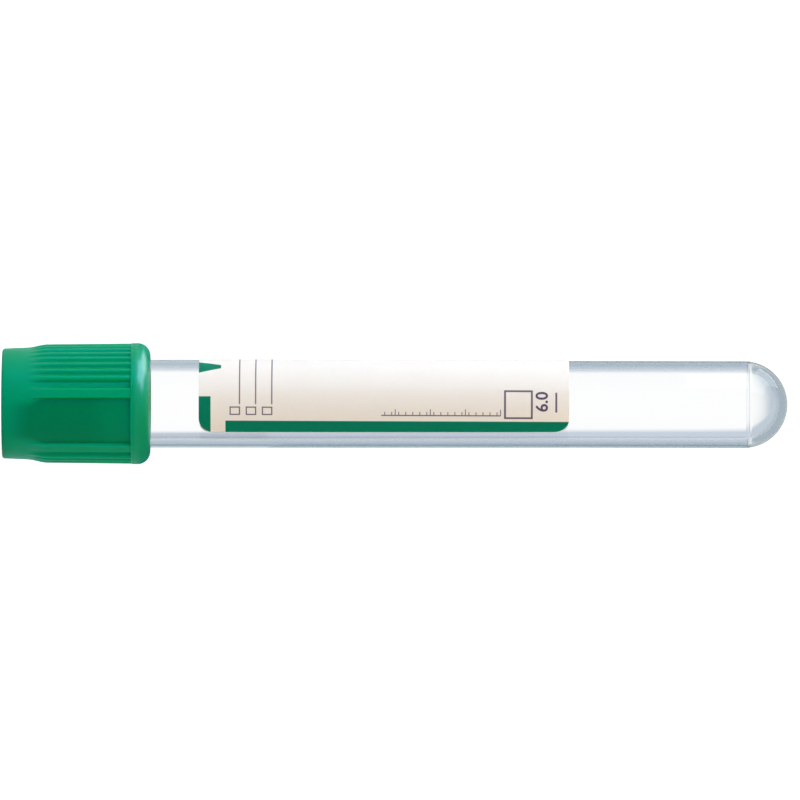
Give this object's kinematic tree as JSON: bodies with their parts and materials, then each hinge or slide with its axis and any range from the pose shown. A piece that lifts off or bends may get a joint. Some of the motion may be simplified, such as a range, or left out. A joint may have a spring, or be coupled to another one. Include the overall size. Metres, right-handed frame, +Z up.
{
  "type": "blood collection tube",
  "caption": "Clear round-bottomed tube with a rubber stopper inside a green fluted closure shell and a wrapped paper label.",
  "frame": {"origin": "on the surface it stands on, on the tube's axis", "axes": "+Z runs up the tube's axis from the closure's flat end to the tube's round end; -Y is the label's front"},
  "size_m": [0.0172, 0.0173, 0.1121],
  "materials": {
    "clear_plastic": "clear, smooth",
    "stopper_rubber": "matt",
    "green_plastic": "satin, slightly translucent",
    "label_paper": "satin, printed"
  },
  "bodies": {
    "shield": {"shield": "green_plastic"},
    "stopper": {"stopper": "stopper_rubber"},
    "tube": {"tube": "clear_plastic", "label": "label_paper"}
  },
  "joints": [
    {"name": "closure_twist", "type": "hinge", "parent": "shield", "child": "stopper", "pos_m": [0, 0, 0], "axis": [0, 0, 1], "continuous": true},
    {"name": "closure_pull", "type": "slide", "parent": "stopper", "child": "tube", "axis": [0, 0, 1], "range_m": [0, 0.03]}
  ]
}
